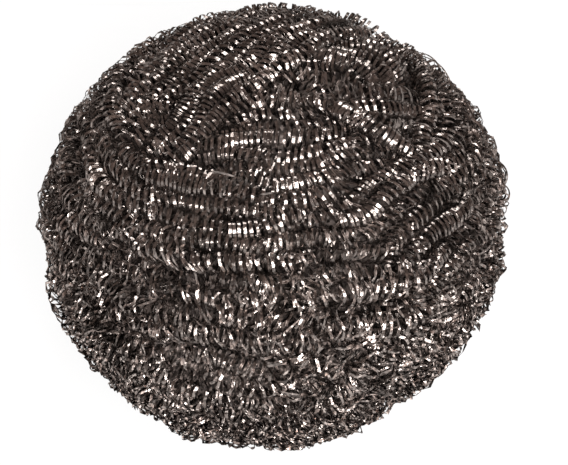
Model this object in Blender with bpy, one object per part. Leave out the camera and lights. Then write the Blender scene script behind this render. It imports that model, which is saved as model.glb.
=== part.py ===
"""Spiral metal scourer, as a household or catering kitchen uses it.

The real thing is one long, thin ribbon of stainless steel, coiled like a spring into a round, open strand. The
strand is wound lap beside lap into a flattened ball, and belts of a few laps cross over each other, which is
what holds the ball together. It is one piece: nothing is cut, clipped or sewn.

The solid here is the outside of that winding. The strand is laid out from its first lap to its last, a belt
that crosses earlier laps climbs over them, and every stretch that can be seen stands out as a ridge. The crest
of a ridge zigzags with the twist of the coil, and the open turns of the ribbon itself are left out.

Metres, +Z up. The origin is under the middle of the ball, on the surface that it stands on.
"""

import itertools
import math

import bmesh
import bpy
import numpy as np
from mathutils import Quaternion, Vector, kdtree, noise
from mathutils.geometry import delaunay_2d_cdt

# The ball
BALL_WIDTH = 0.100
BALL_HEIGHT = 0.074
SEAT_WIDTH = 0.040  # the flat spot that its own weight presses into the underside
HEART_WIDTH = 0.016  # the middle of it is a plain face, where the laps are too tight to tell apart
FULLNESS = 2.15  # 2 is an ellipse in side view, and more is squarer
SLACK_SIDE = (0.70, -0.58, -0.42)  # where the ball was held while it was wound, and came out flatter
SLACK_DEPTH = 0.0030
SLACK_SPREAD = 0.6  # radians, from the middle of it to where it is down to a third

# The coiled strand
STRAND_WIDTH = 0.0046
LAP_SPACING = 0.0039  # neighbouring laps nest into each other by the rest of their width
CROSSING_RISE = 0.0018  # a belt climbs this far over the laps that it crosses, because the coils mesh
BELT_PROUD = 0.0012  # the edge of a belt stands out of the ball by less than this
TWIST_SWAY = 0.0005  # the crest of a ridge swings this far to each side
TWIST_SWELL = 0.0003  # and stands this far out and in by turns
GROOVE_DEPTH = 0.0015  # of a valley, below where round coils of full width would meet

# The wander of the laps, which keeps neighbours side by side
WANDER = 0.0035
WANDER_REACH = 0.024
WANDER_SEED = 5

# Belts in the order of winding: tilt of the axis, the bearing of the line that it tilts about, and the first and
# last latitude, all in degrees. The first belt covers the whole ball, from the underside up.
BELTS = [
    (6, 75, -84, 80),
    (67, 182, 3, 35),
    (88, 45, -44, -10),
    (88, 142, -49, -25),
    (19, 20, -19, 13),
    (58, 263, -38, -12),
    (21, 183, 4, 42),
]
CHANGE_OVER = 0.6  # turns, from the end of a belt to the start of the next one

SAMPLE_STEP = 0.0012  # between the points of the strand's centre line
CORNERS = 5400  # of the solid, near enough
HEART_CORNERS = 24
STEEL = (0.47, 0.42, 0.39)

COIL_RADIUS = STRAND_WIDTH / 2


def unit(vectors):
    return vectors / np.linalg.norm(vectors, axis=-1, keepdims=True)


def half_height():
    """Semi-axis of the ball before the seat cuts it. From the seat to the top it is BALL_HEIGHT."""
    return BALL_HEIGHT / (1 + (1 - (SEAT_WIDTH / BALL_WIDTH) ** FULLNESS) ** (1 / FULLNESS))


def middle_height():
    return BALL_HEIGHT - half_height()


def ball_radius(ways):
    """Distance from the middle of the ball to its outside, along each unit vector."""
    across = np.hypot(ways[:, 0], ways[:, 1]) / (BALL_WIDTH / 2)
    up = np.abs(ways[:, 2]) / half_height()
    off_slack = np.arccos(np.clip(ways @ unit(np.array(SLACK_SIDE)), -1, 1))
    slack = SLACK_DEPTH * np.exp(-((off_slack / SLACK_SPREAD) ** 2))
    return (across**FULLNESS + up**FULLNESS) ** (-1 / FULLNESS) - slack


def wandered(ways):
    """The unit vectors, moved by a smooth field, so that whole groups of laps sway together."""
    noise.seed_set(WANDER_SEED)
    reach = BALL_WIDTH / 2 / WANDER_REACH
    moved = np.array([noise.noise_vector(Vector(way) * reach) for way in ways])
    return unit(ways + moved * WANDER / (BALL_WIDTH / 2))


def belt_laps(first, last):
    """Latitudes through one belt, one a degree of turning, with the laps LAP_SPACING apart on the ball."""
    latitude = np.radians(np.linspace(first, last, 181))
    side = np.stack([np.cos(latitude), 0 * latitude, np.sin(latitude)], 1)
    side = side * ball_radius(side)[:, None]
    climbed = np.append(0, np.cumsum(np.linalg.norm(np.diff(side, axis=0), axis=1)))
    degrees = max(1, round(360 * climbed[-1] / LAP_SPACING))
    return np.interp(np.linspace(0, climbed[-1], degrees), climbed, latitude)


def strand_ways():
    """Unit vectors along the strand, from its first lap to its last."""
    found, turned, held_axis, held_latitude = [], 0, None, 0.0
    for tilt, bearing, first, last in BELTS:
        bearing = math.radians(bearing)
        axis = Quaternion((math.cos(bearing), math.sin(bearing), 0), math.radians(tilt))
        laps = belt_laps(first, last)
        if held_axis is not None:
            steps = round(360 * CHANGE_OVER)
            ease = np.linspace(0, 1, steps) ** 2 * (3 - 2 * np.linspace(0, 1, steps))
            turns = [held_axis.slerp(axis, share) for share in ease]
            laps = np.append(held_latitude + (laps[0] - held_latitude) * ease, laps)
            turns += [axis] * (len(laps) - steps)
        else:
            turns = [axis] * len(laps)
        for latitude, turn in zip(laps, turns):
            angle = math.radians(turned)
            level = math.cos(latitude)
            found.append(turn @ Vector((level * math.cos(angle), level * math.sin(angle), math.sin(latitude))))
            turned += 1
        held_axis, held_latitude = axis, laps[-1]
    ways = wandered(np.array(found))
    places = ways * ball_radius(ways)[:, None]
    gone = np.append(0, np.cumsum(np.linalg.norm(np.diff(places, axis=0), axis=1)))
    marks = np.arange(0, gone[-1], SAMPLE_STEP)
    return unit(np.stack([np.interp(marks, gone, ways[:, axis]) for axis in range(3)], 1))


def tree_of(points):
    tree = kdtree.KDTree(len(points))
    for index, point in enumerate(points):
        tree.insert(point, index)
    tree.balance()
    return tree


def evened(values, span):
    """Running mean over span neighbours. The ends keep the length."""
    padded = np.pad(values, span // 2, mode="edge")
    return np.convolve(padded, np.ones(span) / span, mode="valid")


def rises(places, tree):
    """How far each point of the strand lies above the first layer, because of what was wound before it."""
    rise = np.zeros(len(places))
    span = int(3 * STRAND_WIDTH / SAMPLE_STEP) | 1
    reach = 0.75 * LAP_SPACING
    stretch = int(BALL_WIDTH / SAMPLE_STEP)
    for start in range(0, len(places), stretch):
        head, tail = max(0, start - span), min(len(places), start + stretch + span)
        raw = np.zeros(tail - head)
        for index in range(head, tail):
            before = min(start, index - span)
            for _, other, apart in tree.find_range(places[index], reach):
                if other < before:
                    over = CROSSING_RISE * math.sqrt(max(0.0, 1 - (apart / reach) ** 2))
                    raw[index - head] = max(raw[index - head], rise[other] + over)
        stop = min(len(places), start + stretch)
        rise[start:stop] = evened(raw, span)[start - head : stop - head]
    return rise


def strand_line():
    """The strand's centre line: unit vectors, the places under them on the ball, and the height of each point
    above its place. The pile is pressed back, so that the topmost belt lies in the ball's outside and what is
    under it lies deeper."""
    ways = strand_ways()
    places = ways * ball_radius(ways)[:, None]
    tree = tree_of(places)
    rise = rises(places, tree)
    top = np.array([max(rise[other] for _, other, _ in tree.find_range(p, STRAND_WIDTH)) for p in places])
    around = 1.5 * STRAND_WIDTH
    level = np.array([np.mean([top[other] for _, other, _ in tree.find_range(p, around)]) for p in places])
    proud = BELT_PROUD * np.tanh((rise - level) / BELT_PROUD)
    return ways, places, np.minimum(rise - level, proud) - COIL_RADIUS


def outside(place, tree, places, heights):
    """Height of the winding's outside over a place on the ball: that of the highest coil which passes there."""
    best = -STRAND_WIDTH
    for _, other, apart in tree.find_range(place, COIL_RADIUS):
        best = max(best, heights[other] + math.sqrt(max(0.0, COIL_RADIUS**2 - apart**2)))
    return best


def corner_step():
    """Length of strand from one corner on a crest to the next. A valley has as many as a crest, and together
    they come to CORNERS on the whole ball."""
    skin = math.pi * BALL_WIDTH * (BALL_WIDTH + 2 * BALL_HEIGHT) / 3
    return 2 * skin / (LAP_SPACING * CORNERS)


class Spots:
    """Places on the ball that have a corner, in cells for a quick search."""

    def __init__(self):
        self.cells = {}

    def clear(self, place, apart):
        cell = [int(value // LAP_SPACING) for value in place]
        near = itertools.product(*((value - 1, value, value + 1) for value in cell))
        return all(math.dist(held, place) >= apart for key in near for held in self.cells.get(key, ()))

    def add(self, place):
        self.cells.setdefault(tuple(int(value // LAP_SPACING) for value in place), []).append(tuple(place))


def on_skin(place, height):
    """The corner at this height over its place, or on the seat if that comes first. There is none in the heart of
    the seat."""
    way = Vector(place).normalized()
    reach = Vector(place).length + height
    if way.z < 0:
        reach = min(reach, -middle_height() / way.z)
        if math.hypot(way.x, way.y) / -way.z < 1.12 * HEART_WIDTH / 2 / middle_height():
            return None
    return way * reach


def solid_corners():
    """Corners of the winding's outside: a ring about the heart of the seat, a zigzag along every crest that can
    be seen, and a row in every valley. Gives the links along the crests too, as pairs of corners."""
    ways, places, heights = strand_line()
    tree = tree_of(places)
    step = corner_step()
    index = np.arange(0, len(places) - step / SAMPLE_STEP - 1, step / SAMPLE_STEP).astype(int)
    across = np.cross(ways[index], unit(places[index + 1] - places[index]))
    turn = np.where(np.arange(len(index)) % 2 == 0, 1, -1)
    corners = []
    for angle in np.linspace(0, 2 * math.pi, HEART_CORNERS, endpoint=False):
        spoke = Vector((math.cos(angle), math.sin(angle), 0)) * HEART_WIDTH / 2
        corners.append(spoke - Vector((0, 0, middle_height())))
    highest_first = np.argsort(-heights[index], kind="stable")
    crests, valleys, crest_corner = Spots(), Spots(), {}
    for each in highest_first:
        crest = heights[index[each]] + COIL_RADIUS
        if outside(places[index[each]], tree, places, heights) > crest + STRAND_WIDTH / 10:
            continue
        place = places[index[each]] + across[each] * turn[each] * TWIST_SWAY
        corner = on_skin(place, crest + turn[each] * TWIST_SWELL)
        if corner and crests.clear(place, 0.7 * step):
            crests.add(place)
            crest_corner[each] = len(corners)
            corners.append(corner)
    for side in (-1, 1):
        for each in highest_first:
            middle = places[index[each] + int(step / SAMPLE_STEP / 2)]
            place = middle + across[each] * side * LAP_SPACING / 2
            corner = on_skin(place, outside(place, tree, places, heights) - GROOVE_DEPTH)
            if corner and crests.clear(place, 0.3 * LAP_SPACING) and valleys.clear(place, 0.75 * step):
                valleys.add(place)
                corners.append(corner)
    links = [(corner, crest_corner[each + 1]) for each, corner in crest_corner.items() if each + 1 in crest_corner]
    return corners, links


def spread(corner):
    """Where a corner lands on a flat sheet when the ball is opened at the underside. Nearest neighbours stay the
    nearest."""
    way = corner.normalized()
    return Vector((way.x, way.y)) / (1 + way.z)


def build_solid():
    """Closes the corners into one skin. The ring about the heart of the seat is the rim of the sheet, and one
    flat face closes it."""
    corners, links = solid_corners()
    flat = [spread(corner) for corner in corners]
    _, _, faces, originals, _, _ = delaunay_2d_cdt(flat, links, [], 0, 1e-9)
    if not all(originals):  # two crests cross at one height, and neither can be kept whole
        _, _, faces, originals, _, _ = delaunay_2d_cdt(flat, [], [], 0, 1e-9)
    mesh = bmesh.new()
    skin = [mesh.verts.new(corners[source[0]]) for source in originals]
    for face in faces:
        mesh.faces.new([skin[corner] for corner in face])
    rim = {source[0]: vert for source, vert in zip(originals, skin) if source[0] < HEART_CORNERS}
    mesh.faces.new([rim[number] for number in range(HEART_CORNERS)])
    bmesh.ops.recalc_face_normals(mesh, faces=mesh.faces)
    low = [min(vert.co[axis] for vert in mesh.verts) for axis in range(3)]
    high = [max(vert.co[axis] for vert in mesh.verts) for axis in range(3)]
    shift = Vector((-(low[0] + high[0]) / 2, -(low[1] + high[1]) / 2, middle_height()))
    bmesh.ops.translate(mesh, verts=mesh.verts, vec=shift)
    return mesh


def steel():
    material = bpy.data.materials.new("stainless_ribbon")
    material.use_nodes = True
    shader = material.node_tree.nodes["Principled BSDF"]
    shader.inputs["Base Color"].default_value = (*STEEL, 1)
    shader.inputs["Metallic"].default_value = 1
    shader.inputs["Roughness"].default_value = 0.3
    return material


def main():
    for leftover in list(bpy.data.objects):
        bpy.data.objects.remove(leftover, do_unlink=True)
    mesh = build_solid()
    data = bpy.data.meshes.new("coiled_strand")
    mesh.to_mesh(data)
    mesh.free()
    data.materials.append(steel())
    bpy.context.scene.collection.objects.link(bpy.data.objects.new("coiled_strand", data))


main()
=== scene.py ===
"""Looks of the spiral metal scourer: every turn of the coiled ribbon that can be seen, wound along the same
strand as the solid. Metres, +Z up."""

import math

import bmesh
import bpy
import numpy as np
from mathutils import Matrix, Quaternion, Vector, kdtree, noise


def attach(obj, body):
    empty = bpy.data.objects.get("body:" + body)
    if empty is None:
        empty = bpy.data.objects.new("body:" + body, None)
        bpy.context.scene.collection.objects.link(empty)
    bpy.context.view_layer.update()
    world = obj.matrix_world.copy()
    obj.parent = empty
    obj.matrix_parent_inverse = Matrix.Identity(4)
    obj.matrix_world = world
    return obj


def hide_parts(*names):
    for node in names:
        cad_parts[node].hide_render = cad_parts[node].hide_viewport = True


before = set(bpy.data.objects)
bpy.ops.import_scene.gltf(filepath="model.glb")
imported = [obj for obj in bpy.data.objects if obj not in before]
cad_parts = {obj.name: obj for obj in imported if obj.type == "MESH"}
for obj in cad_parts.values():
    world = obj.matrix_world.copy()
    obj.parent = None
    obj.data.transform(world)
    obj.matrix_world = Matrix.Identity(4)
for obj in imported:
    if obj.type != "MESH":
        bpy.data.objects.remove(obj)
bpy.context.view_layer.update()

# The ball and its winding, with the same values as the solid
BALL_WIDTH = 0.100
BALL_HEIGHT = 0.074
SEAT_WIDTH = 0.040
FULLNESS = 2.15
SLACK_SIDE = (0.70, -0.58, -0.42)
SLACK_DEPTH = 0.0030
SLACK_SPREAD = 0.6
STRAND_WIDTH = 0.0046
LAP_SPACING = 0.0039
CROSSING_RISE = 0.0018
BELT_PROUD = 0.0012
WANDER = 0.0035
WANDER_REACH = 0.024
WANDER_SEED = 5
# Tilt of the axis, the bearing of the line that it tilts about, and the first and last latitude, in degrees
BELTS = [
    (6, 75, -84, 80),
    (67, 182, 3, 35),
    (88, 45, -44, -10),
    (88, 142, -49, -25),
    (19, 20, -19, 13),
    (58, 263, -38, -12),
    (21, 183, 4, 42),
]
CHANGE_OVER = 0.6  # turns, from the end of a belt to the start of the next one
SAMPLE_STEP = 0.0012
COIL_RADIUS = STRAND_WIDTH / 2
LATITUDE_MARKS = 181  # that the climb of a belt is measured at
CROSSING_REACH = 0.75  # lap spacings, within which one stretch of the strand lies over another
CROSSING_EVENED = 3  # strand widths, over which the climb onto a crossing is spread
PILE_EVENED = 1.5  # strand widths, over which the height of the pile is evened

# The next layer of laps, which mesh into the outer ones from inside and run across them
INNER_DEPTH = 0.0046
INNER_TILT = 28  # degrees, about X
INNER_PITCH = 2.4  # times as open
INNER_RIBBON = 3.6  # times as broad
INNER_SIDES = 5

# How loosely the laps lie
STRAND_SHIFT = 0.0006  # to each side
LOW_SHIFT = 1.5  # times as much more at the foot
SHIFT_OUT = 0.5  # times as much out and in
SHIFT_EVERY, SHIFT_OUT_EVERY = 6, 5.5  # sample steps
LOWEST_COIL = 0.92  # coil radii, from the table to the centre of the lowest coils
SEAT_SOFTNESS = 0.0008
SEAT_SINK = 0.3  # the share of the softness's lift that is taken back

# The ribbon
RIBBON_WIDTH = 0.00060
RIBBON_THICKNESS = 0.00008
TURN_PITCH = 0.00125
PITCH_SPREAD = 0.42  # turns bunch up and open, as a share of the pitch
PITCH_LEAST, PITCH_MOST = 0.35, 2.4  # times the pitch
BUNCHED, BUNCHED_FAST = 0.5, 0.7  # how much of the spread is slow and how much is quick
PITCH_BELOW = 0.73  # they lie closer on the lower half, as a share of the pitch
PITCH_HEIGHTS = (0.025, 0.050)  # of where they lie closer and where they don't
SPARE_TURNS = 1.2  # times as many random values as an even coil would need

# How a turn differs from a round one. The shares are of its radius.
TURN_WIDE = 0.07
TURN_NARROW = 0.06
TURN_PRESSED = 0.09
PRESSED_CALM, PRESSED_RUMPLED = 0.7, 0.5
TURN_DENTED = 0.060
STRAY_TURNS = 0.035  # the share of the random values at which a turn stands out as a loose loop
STRAY_REACH = 0.40
TURN_LEAN = 0.0010
LEAN_CALM, LEAN_RUMPLED, LEAN_FAST, LEAN_CRUMPLED = 0.35, 0.65, 0.4, 0.9
TURN_SWAY = 0.00028
RIBBON_ROLL = 0.27  # radians about the ribbon's own length
RIBBON_CRUMPLE = 0.9  # radians more, from one corner of a turn to the next, where the ribbon is crumpled
CRUMPLE_SWAY = 0.00065
CRUMPLE_START, CRUMPLE_MOST = 0.4, 1.2  # it begins where the rumple is more than the first
TABLE_GAP = 0.0004  # the lowest turns are flattened into this gap, and none sinks through the table

# The random values, in the order in which they are drawn, and after how many turns each next one comes
LOOSE_SEED = 11
LOOSE_EVERY = {
    "bunched": 9,
    "bunched_fast": 1.3,
    "wide": 17,
    "narrow": 1.1,
    "pressed": 2.3,
    "pressed_across": 2.9,
    "dents": 0.21,
    "stray": 0.8,
    "lean": 9,
    "lean_fast": 1.7,
    "lean_crumpled": 0.8,
    "lean_across": 10,
    "lean_across_fast": 1.9,
    "lean_across_crumpled": 0.9,
    "sway": 0.4,
    "rolled": 7,
    "rolled_fast": 0.3,
    "crumpled": 0.1,
    "crumpled_sway": 0.13,
}
LOOSE_MOST = 2  # standard deviations, past which a random value is held

# How disordered the turns are: calm on top, in patches, and more so low down
RUMPLE_REACH = 0.022
RUMPLE_CALM = 0.46
RUMPLE_LOW = 2.8
RUMPLE_FALL = 1.9
RUMPLE_LEAST, RUMPLE_MOST = 0.20, 2.0

# How finely it is meshed: the depth of the strand's centre under the ball's outside, and the sides that a
# turn has down to there
LEVELS = [(0.0043, 11), (0.0063, 6), (1, 4)]
SHORTEST_RUN, LONGEST_RUN = 5, 3000  # one straight coil has more turns than the first, and up to the second
TRIANGLES_A_SIDE = 6
MOST_TRIANGLES = 195000  # a piece
SHARP_EDGE = 50  # degrees
MILLIMETRE = 0.001  # straight coils are modelled in millimetres
TURN_MERGE = 0.001  # millimetres, between the end of one turn and the start of the next
TURN_START = 1e-4  # radians, within which a corner is at the start of a turn

# Turns that are pulled out of the strand: the bearing and rise of both ends in degrees, and how far the
# middle stands off the ball, in millimetres
PULLED = [
    ((41, 28), (22, 30), 0.9),
    ((43, 27), (30, 29), 0.6),
    ((22, 30), (13, 25), 0.6),
    ((7, 17), (2, 11), 1.2),
    ((3, 12), (-2, 10), 0.9),
    ((16, 28), (9, 22), 0.6),
    ((166, 37), (-177, 43), 2.0),
    ((178, 47), (-170, 49), 1.8),
    ((161, 49), (179, 53), 1.8),
    ((-98, 62), (-87, 63), 2.2),
    ((-45, 60), (-32, 62), 2.0),
    ((-45, 55), (-25, 51), 1.2),
    ((-18, 34), (-4, 24), 1.4),
    ((-16, 27), (-3, 24), 1.4),
    ((37, 51), (18, 53), 2.0),
    ((-135, 63), (-112, 66), 1.6),
    ((-39, 45), (-25, 41), 1.6),
]
PULLED_WIDTH = 0.00045
PULLED_SIDES = 14
PULLED_CREST = 0.9  # how near they count as being to the crest of a lap, where the painted highlight is brightest
END_DEPTH = 0.0008  # of their ends, in the ball

# The steel. A finish is how metallic it is, its least and most roughness, its darkest and its lightest tint.
FINISHES = {
    "bright_steel": (0.95, 0.12, 0.24, (0.320, 0.275, 0.252, 1), (0.470, 0.403, 0.370, 1)),
    # Painted shade: shaded_steel is a darker, duller copy of the steel for the faces that look into the coil
    "shaded_steel": (0.5, 0.40, 0.60, (0.262, 0.207, 0.182, 1), (0.345, 0.276, 0.247, 1)),
    # Painted fill light: a duller, more diffuse copy of the steel for the inner laps, so that the shaded
    # gaps between the outer laps show brown instead of black
    "dull_painted_fill_steel": (0.4, 0.40, 0.60, (0.30, 0.24, 0.215, 1), (0.38, 0.31, 0.28, 1)),
}
SHEEN = (0.42, 0.40, 0.39, 1)
# A pattern is the scale and detail of a noise, and the values between which it goes from nothing to all
TINTS = (160, 3, 0.3, 0.7)
ROUGHNESS = (900, 2, 0.3, 0.7)
PATCHES = (110, 1, 0.42, 0.56)
FLECKS = (1150, 0, 0.45, 0.54)
# Painted glints: small bright specks
PAINTED_GLINTS = (1300, 0, 0.60, 0.65)
DENTS = (1100, 1, 0.3, 0.7)
PATCH_SHADE = 0.3
DENT_DEPTH = 0.00030
# The heights where the steel looks as on top and where it looks as at the foot, and strengths at both
TOP_LOOK, FOOT_LOOK = 0.066, 0.028
FLECK_STRENGTH = (0.36, 0.95)
# Painted glints, on top and at the foot
PAINTED_GLINT_STRENGTH = (0.5, 2.1)
# Painted shade: the tint is darker on top, where the upturned ribbon mirrors the room, than at the foot
SHADE_BY_HEIGHT = (0.62, 0.72)
DENT_STRENGTH = (0.16, 0.50)
# Painted highlight and shade: a turn's tint is brighter towards the crest of its lap and darker down its
# sides, where the laps shade each other: where that starts and stops, and how bright it is at both
PAINTED_CREST_LIGHT = (0.1, 0.9, 0.62, 1.25)

# The table, whose far rim turns up: distances from the middle and heights
TABLE_RIM = [(0, 0), (2.4, 0), (2.65, 0.03), (2.85, 0.12), (2.97, 0.28), (3.0, 0.5)]
TABLE_SIDES = 64
TABLE_MERGE = 0.0001
TABLE_TINT = (0.92, 0.92, 0.92, 1)
TABLE_ROUGHNESS = 0.9
TABLE_WHITES = {"Is Camera Ray": 0.88, "Is Glossy Ray": 0.78, "Is Transmission Ray": 0.78}

# The lamps: place, width and watts
LAMPS = {
    "window": ((0.12, 0.57, 0.47), 0.27, 2.2),
    "second": ((0.26, -0.22, 0.76), 0.25, 1.8),
    "third": ((0.14, -0.58, 0.62), 0.43, 9.2),
    "fourth": ((0.44, -0.52, 0.40), 0.26, 1.4),
    "fifth": ((-0.48, -0.42, 0.36), 0.18, 1.3),
}
LAMP_AIM = (0, 0, 0.04)
ROOM_TINT = (0.235, 0.178, 0.156, 1)

# The camera
LENS_LENGTH = 135  # millimetres
SENSOR_WIDTH = 36  # millimetres
CAMERA_RISE = 56  # degrees
CAMERA_DISTANCE = 0.452
AIM_HEIGHT = 0.036
AIM_ASIDE = 0.0024
AIM_DOWN = 0.0027
PICTURE_SIZE = (568, 465)


def unit(vectors):
    return vectors / np.linalg.norm(vectors, axis=-1, keepdims=True)


def gone_along(places):
    """The length of the line up to each of its points."""
    return np.append(0, np.cumsum(np.linalg.norm(np.diff(places, axis=0), axis=1)))


def half_height():
    """Semi-axis of the ball before the seat cuts it. From the seat to the top it is BALL_HEIGHT."""
    return BALL_HEIGHT / (1 + (1 - (SEAT_WIDTH / BALL_WIDTH) ** FULLNESS) ** (1 / FULLNESS))


def middle_height():
    return BALL_HEIGHT - half_height()


def ball_radius(ways):
    """Distance from the middle of the ball to its outside, along each unit vector."""
    across = np.hypot(ways[:, 0], ways[:, 1]) / (BALL_WIDTH / 2)
    up = np.abs(ways[:, 2]) / half_height()
    off_slack = np.arccos(np.clip(ways @ unit(np.array(SLACK_SIDE)), -1, 1))
    slack = SLACK_DEPTH * np.exp(-((off_slack / SLACK_SPREAD) ** 2))
    return (across**FULLNESS + up**FULLNESS) ** (-1 / FULLNESS) - slack


def wandered(ways):
    """The unit vectors, moved by a smooth field, so that whole groups of laps sway together."""
    noise.seed_set(WANDER_SEED)
    reach = BALL_WIDTH / 2 / WANDER_REACH
    moved = np.array([noise.noise_vector(Vector(way) * reach) for way in ways])
    return unit(ways + moved * WANDER / (BALL_WIDTH / 2))


def belt_laps(first, last):
    """Latitudes through one belt, one a degree of turning, with the laps LAP_SPACING apart on the ball."""
    latitude = np.radians(np.linspace(first, last, LATITUDE_MARKS))
    side = np.stack([np.cos(latitude), 0 * latitude, np.sin(latitude)], 1)
    climbed = gone_along(side * ball_radius(side)[:, None])
    degrees = max(1, round(360 * climbed[-1] / LAP_SPACING))
    return np.interp(np.linspace(0, climbed[-1], degrees), climbed, latitude)


def strand_ways():
    """Unit vectors along the strand, from its first lap to its last."""
    found, turned, held_axis, held_latitude = [], 0, None, 0.0
    for tilt, bearing, first, last in BELTS:
        bearing = math.radians(bearing)
        axis = Quaternion((math.cos(bearing), math.sin(bearing), 0), math.radians(tilt))
        laps = belt_laps(first, last)
        turns = [axis] * len(laps)
        if held_axis is not None:
            done = np.linspace(0, 1, round(360 * CHANGE_OVER))
            ease = done**2 * (3 - 2 * done)
            turns = [held_axis.slerp(axis, share) for share in ease] + turns
            laps = np.append(held_latitude + (laps[0] - held_latitude) * ease, laps)
        for latitude, turn in zip(laps, turns):
            angle = math.radians(turned)
            level = math.cos(latitude)
            way = Vector((level * math.cos(angle), level * math.sin(angle), math.sin(latitude)))
            found.append(turn @ way)
            turned += 1
        held_axis, held_latitude = axis, laps[-1]
    ways = wandered(np.array(found))
    gone = gone_along(ways * ball_radius(ways)[:, None])
    marks = np.arange(0, gone[-1], SAMPLE_STEP)
    return unit(np.stack([np.interp(marks, gone, ways[:, axis]) for axis in range(3)], 1))


def tree_of(points):
    tree = kdtree.KDTree(len(points))
    for index, point in enumerate(points):
        tree.insert(point, index)
    tree.balance()
    return tree


def evened(values, span):
    """Running mean over span neighbours. The ends keep the length."""
    padded = np.pad(values, span // 2, mode="edge")
    return np.convolve(padded, np.ones(span) / span, mode="valid")


def rises(places, tree):
    """How far each point of the strand lies above the first layer, because of what was wound before it."""
    rise = np.zeros(len(places))
    span = int(CROSSING_EVENED * STRAND_WIDTH / SAMPLE_STEP) | 1
    reach = CROSSING_REACH * LAP_SPACING
    stretch = int(BALL_WIDTH / SAMPLE_STEP)
    for start in range(0, len(places), stretch):
        head, tail = max(0, start - span), min(len(places), start + stretch + span)
        raw = np.zeros(tail - head)
        for index in range(head, tail):
            before = min(start, index - span)
            for _, other, apart in tree.find_range(places[index], reach):
                if other < before:
                    over = CROSSING_RISE * math.sqrt(max(0.0, 1 - (apart / reach) ** 2))
                    raw[index - head] = max(raw[index - head], rise[other] + over)
        stop = min(len(places), start + stretch)
        rise[start:stop] = evened(raw, span)[start - head : stop - head]
    return rise


def strand_line():
    """The strand's centre line: unit vectors, the places under them on the ball, and the height of each
    point above its place. The pile is pressed back, so that the topmost belt lies in the ball's outside and
    what is under it lies deeper."""
    ways = strand_ways()
    places = ways * ball_radius(ways)[:, None]
    tree = tree_of(places)
    rise = rises(places, tree)
    top = np.array([max(rise[other] for _, other, _ in tree.find_range(p, STRAND_WIDTH)) for p in places])
    around = PILE_EVENED * STRAND_WIDTH
    level = np.array([np.mean([top[other] for _, other, _ in tree.find_range(p, around)]) for p in places])
    proud = BELT_PROUD * np.tanh((rise - level) / BELT_PROUD)
    return ways, places, np.minimum(rise - level, proud) - COIL_RADIUS


def both_layers():
    """The inner layer and then the outer one, as one line round the middle of the ball: unit vectors, the
    centre line, and the height of each point above the outside of its layer."""
    ways, places, heights = strand_line()
    line = places + ways * heights[:, None]
    outside = line + ways * COIL_RADIUS
    middle = (outside.min(axis=0) + outside.max(axis=0)) / 2
    inner_ways = ways[::-1] @ np.array(Matrix.Rotation(math.radians(INNER_TILT), 3, "X"))
    inner = inner_ways * (ball_radius(inner_ways) + heights[::-1] - INNER_DEPTH)[:, None]
    line = np.concatenate([inner, line])
    line[:, :2] -= middle[:2]
    return np.concatenate([inner_ways, ways]), line, np.concatenate([heights[::-1], heights])


class Loose:
    """Random values, one after every so many turns, with even slopes between them. With a share, only that
    share of them is more than nothing."""

    def __init__(self, chance, turns, every, share=0):
        self.every = every
        count = int(turns / every) + 3
        self.knots = np.clip(chance.normal(size=count), -LOOSE_MOST, LOOSE_MOST)
        if share:
            self.knots = (chance.random(count) < share) * chance.random(count)

    def at(self, turned):
        return np.interp(turned / self.every, np.arange(len(self.knots)), self.knots)


def laid_loosely(ways, line, chance):
    """The line with its laps moved a little aside, out and in."""
    samples = np.arange(len(line))
    side = unit(np.cross(np.gradient(line, axis=0), ways))
    low = np.clip(1 - (line[:, 2] + middle_height()) / BALL_HEIGHT, 0, 1)
    reach = STRAND_SHIFT * (1 + LOW_SHIFT * low**2)
    aside = reach * Loose(chance, len(line), SHIFT_EVERY).at(samples)
    out = SHIFT_OUT * reach * Loose(chance, len(line), SHIFT_OUT_EVERY).at(samples)
    return line + side * aside[:, None] + ways * out[:, None]


def stood_on_table(line):
    """The line at its height above the table, with the lowest coils pressed up so that they stand on it."""
    lowest = COIL_RADIUS * LOWEST_COIL
    above = line[:, 2] + middle_height() - lowest
    line[:, 2] = lowest + np.logaddexp(0, above / SEAT_SOFTNESS) * SEAT_SOFTNESS
    line[:, 2] -= SEAT_SOFTNESS * math.log(2) * SEAT_SINK
    return line


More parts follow.
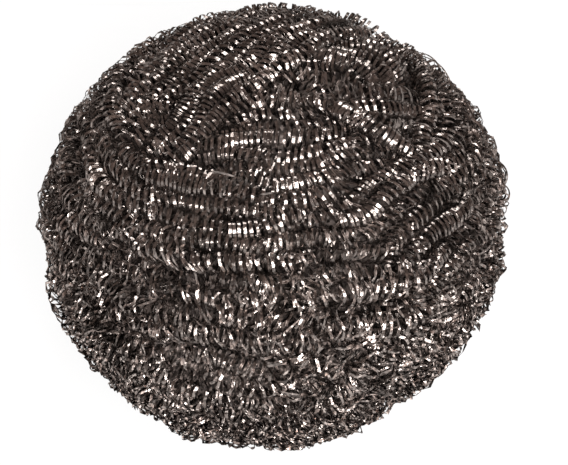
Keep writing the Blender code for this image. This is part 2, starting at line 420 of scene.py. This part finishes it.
class Strand:
    """The centre line of the strand, and how its coil lies at each point."""

    def __init__(self):
        chance = np.random.default_rng(LOOSE_SEED)
        ways, line, heights = both_layers()
        self.line = stood_on_table(laid_loosely(ways, line, chance))
        self.depth = -heights
        self.gone = gone_along(self.line)
        half = len(line) // 2
        self.length, self.inner_length = self.gone[-1], self.gone[half]
        self.along = unit(np.gradient(self.line, axis=0))
        self.out = unit(ways - self.along * np.sum(ways * self.along, axis=1, keepdims=True))
        self.across = np.cross(self.along, self.out)
        self.rumple = self.rumpled()

        close = np.interp(self.line[:, 2], PITCH_HEIGHTS, (PITCH_BELOW, 1))
        self.pace = np.append(0, np.cumsum(np.diff(self.gone) / close[1:]))
        turns = self.pace[-1] / TURN_PITCH * SPARE_TURNS
        self.loose = {}
        for name, every in LOOSE_EVERY.items():
            self.loose[name] = Loose(chance, turns, every, STRAY_TURNS if name == "stray" else 0)
        numbers = np.arange(int(turns))
        bunched = BUNCHED * self.loose["bunched"].at(numbers)
        bunched += BUNCHED_FAST * self.loose["bunched_fast"].at(numbers)
        self.turn_length = TURN_PITCH * np.clip(1 + PITCH_SPREAD * bunched, PITCH_LEAST, PITCH_MOST)
        self.turn_length[: int(self.pace[half] / TURN_PITCH / INNER_PITCH)] *= INNER_PITCH

    def rumpled(self):
        """How disordered the turns are at each point."""
        patch = np.array([noise.noise(Vector(spot) / RUMPLE_REACH) for spot in self.line])
        low = 1 - self.line[:, 2] / BALL_HEIGHT
        rumple = RUMPLE_CALM + patch * (1 - low) + RUMPLE_LOW * low**RUMPLE_FALL
        return np.clip(rumple, RUMPLE_LEAST, RUMPLE_MOST)

    def at(self, gone, values):
        """What holds that far along the strand, of values that are known at its points."""
        if values.ndim == 1:
            return np.interp(gone, self.gone, values)
        return np.stack([np.interp(gone, self.gone, values[:, axis]) for axis in range(3)], 1)


def spin_ribbon(mesh, corners, centre, axis, step, angle, sides):
    """The ribbon's three-cornered section, spun round the centre."""
    section = [mesh.verts.new(corner) for corner in corners]
    edges = [mesh.edges.new((section[side], section[(side + 1) % 3])) for side in range(3)]
    bmesh.ops.spin(
        mesh, geom=section + edges, cent=centre, axis=axis, dvec=step, angle=angle, steps=sides,
        use_merge=False, use_duplicate=False,
    )


def one_turn(sides):
    """One turn of a straight coil along X, in millimetres. Its crest attribute says how near a corner is to
    the top of the lap, and its second material is for the faces that look into the coil."""
    mesh = bmesh.new()
    crest = mesh.verts.layers.float.new("crest")
    radius, width, thick = COIL_RADIUS / MILLIMETRE, RIBBON_WIDTH / MILLIMETRE, RIBBON_THICKNESS / MILLIMETRE
    pitch = TURN_PITCH / MILLIMETRE
    corners = (-width / 2, 0, radius), (width / 2, 0, radius), (0, 0, radius - thick)
    spin_ribbon(mesh, corners, (0, 0, 0), (1, 0, 0), (pitch / sides, 0, 0), 2 * math.pi, sides)
    for vert in mesh.verts:
        vert[crest] = vert.co.z / radius
    for face in mesh.faces:
        nearest = min(math.hypot(vert.co.y, vert.co.z) for vert in face.verts)
        face.material_index = int(nearest < radius - thick / 2)
    data = bpy.data.meshes.new("one_turn")
    mesh.to_mesh(data)
    mesh.free()
    turn = bpy.data.objects.new("one_turn", data)
    bpy.context.scene.collection.objects.link(turn)
    repeat = turn.modifiers.new("repeat", "ARRAY")
    repeat.use_relative_offset = False
    repeat.use_constant_offset = True
    repeat.constant_offset_displace = (pitch, 0, 0)
    repeat.use_merge_vertices = True
    repeat.merge_threshold = TURN_MERGE
    return turn


def bent(spots, first, strand, where, broad):
    """The corners of a straight coil, moved onto the strand. first is the number of its first turn, where is
    how far along the strand each turn begins, and broad is how many times as broad its ribbon becomes."""
    pitch = TURN_PITCH / MILLIMETRE
    angle = np.arctan2(-spots[:, 1], spots[:, 2])
    angle = np.where(angle < -TURN_START, angle + 2 * math.pi, angle)
    number = np.round((spots[:, 0] - pitch * angle / (2 * math.pi)) / pitch)
    turned = number + angle / (2 * math.pi)
    aside = (spots[:, 0] - pitch * turned) * MILLIMETRE * broad
    inside = np.hypot(spots[:, 1], spots[:, 2]) * MILLIMETRE - COIL_RADIUS
    turned = first + turned
    gone = np.interp(turned, np.arange(len(where)), where)
    loose = {name: values.at(turned) for name, values in strand.loose.items()}
    rumple = strand.at(gone, strand.rumple)
    crumple = np.clip(rumple - CRUMPLE_START, 0, CRUMPLE_MOST)

    # The ribbon rolls about its own length
    roll = RIBBON_ROLL * (loose["rolled"] + rumple * loose["rolled_fast"])
    roll += RIBBON_CRUMPLE * crumple * loose["crumpled"]

    # The turn is wider or narrower, stands out as a loose loop, is dented, and is pressed out of round
    girth = 1 + TURN_WIDE * loose["wide"] + rumple * TURN_NARROW * loose["narrow"]
    girth += STRAY_REACH * loose["stray"] + rumple * TURN_DENTED * loose["dents"]
    pressed = TURN_PRESSED * (PRESSED_CALM + PRESSED_RUMPLED * rumple)
    girth += pressed * loose["pressed"] * np.cos(2 * angle)
    girth += pressed * loose["pressed_across"] * np.sin(2 * angle)

    # It leans and sways along the strand
    lean = 0
    for name, side in (("lean", np.cos(angle)), ("lean_across", np.sin(angle))):
        slow = loose[name] * (LEAN_CALM + LEAN_RUMPLED * rumple)
        fast = LEAN_FAST * rumple * loose[f"{name}_fast"]
        crossed = LEAN_CRUMPLED * crumple * loose[f"{name}_crumpled"]
        lean += (slow + fast + crossed) * side
    sway = rumple * TURN_SWAY * loose["sway"] + CRUMPLE_SWAY * crumple * loose["crumpled_sway"]

    ahead = TURN_LEAN * lean + sway + aside * np.cos(roll) - inside * np.sin(roll)
    radius = COIL_RADIUS * girth + aside * np.sin(roll) + inside * np.cos(roll)
    place = strand.at(gone, strand.line)
    place = place + strand.at(gone, strand.out) * (radius * np.cos(angle))[:, None]
    place = place + strand.at(gone, strand.across) * (radius * np.sin(angle))[:, None]
    place = place + strand.at(gone, strand.along) * ahead[:, None]
    height = place[:, 2]
    place[:, 2] = np.where(height < TABLE_GAP, TABLE_GAP * np.exp((height - TABLE_GAP) / TABLE_GAP), height)
    return place


def closed_piece(mesh, name):
    """The finished piece, with the ends of its ribbons closed."""
    bmesh.ops.holes_fill(mesh, edges=[edge for edge in mesh.edges if edge.is_boundary], sides=3)
    bmesh.ops.recalc_face_normals(mesh, faces=mesh.faces)
    for face in mesh.faces:
        face.smooth = True
    data = bpy.data.meshes.new(name)
    mesh.to_mesh(data)
    mesh.free()
    data.set_sharp_from_angle(angle=math.radians(SHARP_EDGE))
    piece = bpy.data.objects.new(name, data)
    bpy.context.scene.collection.objects.link(piece)
    return piece


def coil_runs(strand, where):
    """The coil in runs of turns with one number of sides: where each starts and stops, and its place in
    LEVELS. The inner layer comes after the last of LEVELS."""
    depth = np.interp((where[1:] + where[:-1]) / 2, strand.gone, strand.depth)
    level = np.searchsorted([limit for limit, _ in LEVELS], depth)
    level[where[1:] < strand.inner_length] = len(LEVELS)
    runs, start = [], 0
    for index in range(1, len(level) + 1):
        other = index < len(level) and level[index] != level[start] and index - start > SHORTEST_RUN
        if other or index == len(level) or index - start == LONGEST_RUN:
            runs.append((start, index, level[start]))
            start = index
    return runs


def coiled_pieces():
    """The whole coil, as pieces of as many runs as a piece can hold."""
    strand = Strand()
    where = np.interp(np.append(0, np.cumsum(strand.turn_length)), strand.pace, strand.gone)
    where = where[where < strand.length - SAMPLE_STEP]
    runs = coil_runs(strand, where)
    sides = [sides for _, sides in LEVELS] + [INNER_SIDES]
    weights = [(stop - start) * sides[level] * TRIANGLES_A_SIDE for start, stop, level in runs]
    turns = [one_turn(each) for each in sides]
    pieces, mesh, held = [], bmesh.new(), 0
    graph = bpy.context.evaluated_depsgraph_get()
    for number, (start, stop, level) in enumerate(runs):
        inner = level == len(LEVELS)
        turn = turns[level]
        turn.modifiers["repeat"].count = stop - start
        bpy.context.view_layer.update()
        straight = turn.evaluated_get(graph).to_mesh()
        spots = np.empty(len(straight.vertices) * 3)
        straight.vertices.foreach_get("co", spots)
        spots = bent(spots.reshape(-1, 3), start, strand, where, INNER_RIBBON if inner else 1)
        straight.vertices.foreach_set("co", spots.ravel())
        mesh.from_mesh(straight)
        held += weights[number]
        last = number == len(runs) - 1 or inner != (runs[number + 1][2] == len(LEVELS))
        if last or held + weights[number + 1] > MOST_TRIANGLES:
            pieces.append(closed_piece(mesh, f"{'inner_coils' if inner else 'coils'}_{len(pieces) + 1}"))
            mesh, held = bmesh.new(), 0
    mesh.free()
    for turn in turns:
        bpy.data.objects.remove(turn, do_unlink=True)
    return pieces


def way_to(bearing, rise):
    bearing, rise = math.radians(bearing), math.radians(rise)
    return Vector((math.cos(rise) * math.cos(bearing), math.cos(rise) * math.sin(bearing), math.sin(rise)))


def circle_through(start, middle, end):
    """The centre and axis of the circle through three points, and the angle from the first to the last."""
    one, other = start - end, middle - end
    over = one.cross(other)
    across = one.length_squared * other - other.length_squared * one
    centre = end + across.cross(over) / (2 * over.length_squared)
    axis = (middle - start).cross(end - middle).normalized()
    out, there = start - centre, end - centre
    return centre, axis, math.atan2(axis.dot(out.cross(there)), out.dot(there)) % (2 * math.pi)


def pulled_turns():
    """The single turns that are pulled out of the strand, each an arc from the ball into the ball."""
    mesh = bmesh.new()
    crest = mesh.verts.layers.float.new("crest")
    for first, last, lift in PULLED:
        ways = np.array([way_to(*first), (way_to(*first) + way_to(*last)).normalized(), way_to(*last)])
        spots = ways * (ball_radius(ways) + (-END_DEPTH, lift * MILLIMETRE, -END_DEPTH))[:, None]
        spots[:, 2] += middle_height()
        start, middle, end = [Vector(spot) for spot in spots]
        centre, axis, angle = circle_through(start, middle, end)
        # A pulled turn lies half on its side
        out = (start - centre).normalized()
        half = (axis + out).normalized() * PULLED_WIDTH / 2
        under = (axis - out).normalized() * RIBBON_THICKNESS
        corners = start - half, start + half, start + under
        spin_ribbon(mesh, corners, centre, axis, (0, 0, 0), angle, PULLED_SIDES)
    # Their crest value sets how much painted highlight they get
    for vert in mesh.verts:
        vert[crest] = PULLED_CREST
    return closed_piece(mesh, "pulled_turns")


def ribbon_steel(name, metallic, smooth, rough, dark, bright):
    """One finish of the ribbon: clean and calm on top, under painted shade, and crumpled, flecked and with
    painted glints low down, with a painted highlight along the crest of each lap.
    """
    material = bpy.data.materials.new(name)
    material.use_nodes = True
    nodes, links = material.node_tree.nodes, material.node_tree.links
    shader = nodes["Principled BSDF"]
    shader.inputs["Metallic"].default_value = metallic
    shader.inputs["Specular Tint"].default_value = SHEEN
    spot = nodes.new("ShaderNodeTexCoord").outputs["Object"]

    def spread(value, start, stop, low, high):
        ranged = nodes.new("ShaderNodeMapRange")
        for socket, number in (("From Min", start), ("From Max", stop), ("To Min", low), ("To Max", high)):
            ranged.inputs[socket].default_value = number
        links.new(value, ranged.inputs["Value"])
        return ranged.outputs["Result"]

    def pattern(kind, low, high):
        scale, detail, start, stop = kind
        noisy = nodes.new("ShaderNodeTexNoise")
        noisy.inputs["Scale"].default_value = scale
        noisy.inputs["Detail"].default_value = detail
        links.new(spot, noisy.inputs["Vector"])
        return spread(noisy.outputs["Fac"], start, stop, low, high)

    def joined(one, other, operation="MULTIPLY"):
        math_node = nodes.new("ShaderNodeMath")
        math_node.operation = operation
        for place, value in enumerate((one, other)):
            if isinstance(value, float):
                math_node.inputs[place].default_value = value
            else:
                links.new(value, math_node.inputs[place])
        return math_node.outputs["Value"]

    apart = nodes.new("ShaderNodeSeparateXYZ")
    links.new(spot, apart.inputs["Vector"])
    low_down = spread(apart.outputs["Z"], TOP_LOOK, FOOT_LOOK, 0, 1)

    # Dark flecks, stronger low down, and broad patches that are a little darker
    fleck = joined(pattern(FLECKS, 1, 0), spread(low_down, 0, 1, *FLECK_STRENGTH))
    patch = joined(pattern(PATCHES, 1, 0), PATCH_SHADE)
    light = joined(joined(1.0, fleck, "SUBTRACT"), joined(1.0, patch, "SUBTRACT"))
    # Painted shade: the tint is darker on top, where the upturned ribbon mirrors the room, than at the foot
    light = joined(light, spread(low_down, 0, 1, *SHADE_BY_HEIGHT))
    # Painted glints: bright specks in a noise pattern, stronger low down
    painted_glint = joined(pattern(PAINTED_GLINTS, 0, 1), spread(low_down, 0, 1, *PAINTED_GLINT_STRENGTH))
    light = joined(light, joined(1.0, painted_glint, "ADD"))
    # Painted highlight and shade: the tint is brighter along the crest of a lap and darker down its sides,
    # where the laps shade each other
    crest = nodes.new("ShaderNodeAttribute")
    crest.attribute_name = "crest"
    light = joined(light, spread(crest.outputs["Fac"], *PAINTED_CREST_LIGHT))

    tint = nodes.new("ShaderNodeMix")
    tint.data_type = "RGBA"
    tint.inputs["A"].default_value = dark
    tint.inputs["B"].default_value = bright
    links.new(pattern(TINTS, 0, 1), tint.inputs["Factor"])
    lit = nodes.new("ShaderNodeVectorMath")
    lit.operation = "SCALE"
    links.new(tint.outputs["Result"], lit.inputs[0])
    links.new(light, lit.inputs["Scale"])
    links.new(lit.outputs["Vector"], shader.inputs["Base Color"])
    links.new(pattern(ROUGHNESS, smooth, rough), shader.inputs["Roughness"])

    bump = nodes.new("ShaderNodeBump")
    bump.inputs["Distance"].default_value = DENT_DEPTH
    links.new(joined(pattern(DENTS, 0, 1), spread(low_down, 0, 1, *DENT_STRENGTH)), bump.inputs["Height"])
    links.new(bump.outputs["Normal"], shader.inputs["Normal"])
    return material


def table_white():
    """What looks at the table, or mirrors it, sees it mostly evenly white, with the object's shadow."""
    material = bpy.data.materials.new("table_white")
    material.use_nodes = True
    nodes, links = material.node_tree.nodes, material.node_tree.links
    lit = nodes["Principled BSDF"]
    lit.inputs["Base Color"].default_value = TABLE_TINT
    lit.inputs["Roughness"].default_value = TABLE_ROUGHNESS
    rays = nodes.new("ShaderNodeLightPath")
    seen = None
    for kind, white in TABLE_WHITES.items():
        part = nodes.new("ShaderNodeMath")
        part.operation = "MULTIPLY"
        part.inputs[1].default_value = white
        links.new(rays.outputs[kind], part.inputs[0])
        if seen is None:
            seen = part
            continue
        either = nodes.new("ShaderNodeMath")
        either.operation = "MAXIMUM"
        links.new(seen.outputs["Value"], either.inputs[0])
        links.new(part.outputs["Value"], either.inputs[1])
        seen = either
    even = nodes.new("ShaderNodeEmission")
    mixed = nodes.new("ShaderNodeMixShader")
    links.new(seen.outputs["Value"], mixed.inputs[0])
    links.new(lit.outputs["BSDF"], mixed.inputs[1])
    links.new(even.outputs["Emission"], mixed.inputs[2])
    links.new(mixed.outputs["Shader"], nodes["Material Output"].inputs["Surface"])
    return material


def lay_table():
    """A round table top. Its far rim turns up, so that it also stands behind the ball in a low view."""
    mesh = bmesh.new()
    line = [mesh.verts.new((far, 0, high)) for far, high in TABLE_RIM]
    edges = [mesh.edges.new(ends) for ends in zip(line[:-1], line[1:])]
    bmesh.ops.spin(
        mesh, geom=line + edges, cent=(0, 0, 0), axis=(0, 0, 1), dvec=(0, 0, 0),
        angle=2 * math.pi, steps=TABLE_SIDES, use_merge=True, use_duplicate=False,
    )
    bmesh.ops.remove_doubles(mesh, verts=mesh.verts, dist=TABLE_MERGE)
    bmesh.ops.recalc_face_normals(mesh, faces=mesh.faces)
    if sum(face.normal.z for face in mesh.faces) < 0:
        bmesh.ops.reverse_faces(mesh, faces=mesh.faces)
    for face in mesh.faces:
        face.smooth = True
    data = bpy.data.meshes.new("table")
    mesh.to_mesh(data)
    mesh.free()
    data.materials.append(table_white())
    table = bpy.data.objects.new("table", data)
    bpy.context.scene.collection.objects.link(table)


def hang_lamp(name, place, width, watts):
    lamp = bpy.data.lights.new(name, "AREA")
    lamp.shape = "SQUARE"
    lamp.size = width
    lamp.energy = watts
    holder = bpy.data.objects.new(name, lamp)
    holder.location = place
    holder.rotation_euler = (Vector(LAMP_AIM) - Vector(place)).to_track_quat("-Z", "Y").to_euler()
    bpy.context.scene.collection.objects.link(holder)


def set_camera():
    lens = bpy.data.cameras.new("camera")
    lens.lens = LENS_LENGTH
    lens.sensor_width = SENSOR_WIDTH
    camera = bpy.data.objects.new("camera", lens)
    bpy.context.scene.collection.objects.link(camera)
    bpy.context.scene.camera = camera
    rise = math.radians(CAMERA_RISE)
    right = Vector((1, 0, 0))
    up = Vector((0, math.sin(rise), math.cos(rise)))
    back = Vector((0, -math.cos(rise), math.sin(rise)))
    aim = Vector((0, 0, AIM_HEIGHT)) + right * AIM_ASIDE - up * AIM_DOWN
    camera.location = aim + back * CAMERA_DISTANCE
    camera.rotation_euler = Matrix((right, up, back)).transposed().to_euler()


steel = {name: ribbon_steel(name, *finish) for name, finish in FINISHES.items()}
for piece in coiled_pieces() + [pulled_turns()]:
    inner = piece.name.startswith("inner")
    # The faces that look into the coil get the painted-shade copy of the steel, and the inner laps the
    # painted fill-light copy
    piece.data.materials.append(steel["dull_painted_fill_steel" if inner else "bright_steel"])
    piece.data.materials.append(steel["dull_painted_fill_steel" if inner else "shaded_steel"])
    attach(piece, "root")
    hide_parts("coiled_strand")

lay_table()
for name, (place, width, watts) in LAMPS.items():
    hang_lamp(name, place, width, watts)
set_camera()

scene = bpy.context.scene
scene.render.resolution_x, scene.render.resolution_y = PICTURE_SIZE
scene.view_settings.view_transform = "Standard"
world = bpy.data.worlds.new("studio")
world.use_nodes = True
world.node_tree.nodes["Background"].inputs["Color"].default_value = ROOM_TINT
scene.world = world
